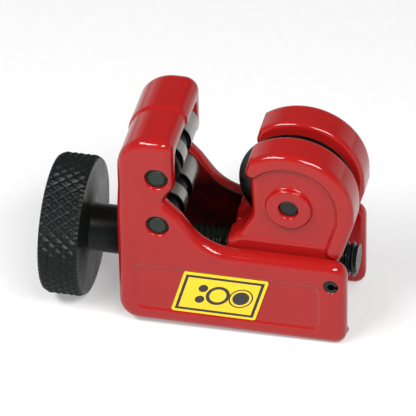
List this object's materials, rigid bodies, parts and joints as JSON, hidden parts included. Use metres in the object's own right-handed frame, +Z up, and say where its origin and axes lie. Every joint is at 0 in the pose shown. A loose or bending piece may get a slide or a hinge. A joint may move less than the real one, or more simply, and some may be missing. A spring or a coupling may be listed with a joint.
{
  "type": "pipe cutter",
  "caption": "Mini pipe cutter: red die-cast frame with two rollers, a screw-fed slide carrying a guarded cutting wheel, and a knurled knob.",
  "frame": {"origin": "centre of the frame's flat bottom face", "axes": "+X along the feed screw from the knob to the frame's open end, +Y to the back along the rollers and the pipe, +Z up from the bottom face to the rollers"},
  "size_m": [0.0528, 0.024, 0.0388],
  "materials": {
    "red_paint": "glossy enamel over a die casting",
    "pin_oxide": "black oxide, with dull cut ends",
    "label_print": "glossy printed film",
    "roller_steel": "ground lands with black oxide in the grooves",
    "black_oxide": "satin black oxide over a diamond knurl",
    "thread_oxide": "oiled black oxide on a cut thread",
    "washer_steel": "zinc plate",
    "wheel_steel": "black oxide with a bright ground edge"
  },
  "bodies": {
    "frame": {"frame": "red_paint", "upper_roller_pin": "pin_oxide", "lower_roller_pin": "pin_oxide", "stop_pin": "pin_oxide", "front_label": "label_print"},
    "upper_roller": {"upper_roller": "roller_steel"},
    "lower_roller": {"lower_roller": "roller_steel"},
    "screw": {"knob": "black_oxide", "feed_screw": "thread_oxide", "thrust_washer": "washer_steel", "screw_retaining_ring": "thread_oxide"},
    "slide": {"slide": "red_paint", "wheel_axle_screw": "pin_oxide"},
    "wheel": {"cutter_wheel": "wheel_steel"}
  },
  "joints": [
    {"name": "knob_turn", "type": "hinge", "parent": "frame", "child": "screw", "pos_m": [0, 0, 0.0109], "axis": [1, 0, 0], "range_deg": [-2340, 3384]},
    {"name": "slide_travel", "type": "slide", "parent": "frame", "child": "slide", "axis": [1, 0, 0], "range_m": [-0.0094, 0.0065]},
    {"name": "wheel_spin", "type": "hinge", "parent": "slide", "child": "wheel", "pos_m": [0.0093, 0, 0.02525], "axis": [0, 1, 0], "continuous": true},
    {"name": "upper_roller_spin", "type": "hinge", "parent": "frame", "child": "upper_roller", "pos_m": [-0.01229, 0, 0.03005], "axis": [0, 1, 0], "continuous": true},
    {"name": "lower_roller_spin", "type": "hinge", "parent": "frame", "child": "lower_roller", "pos_m": [-0.01229, 0, 0.02045], "axis": [0, 1, 0], "continuous": true}
  ],
  "couplings": [
    {"joint": "knob_turn", "follows": "slide_travel", "rad_per_m": -6283.2}
  ]
}
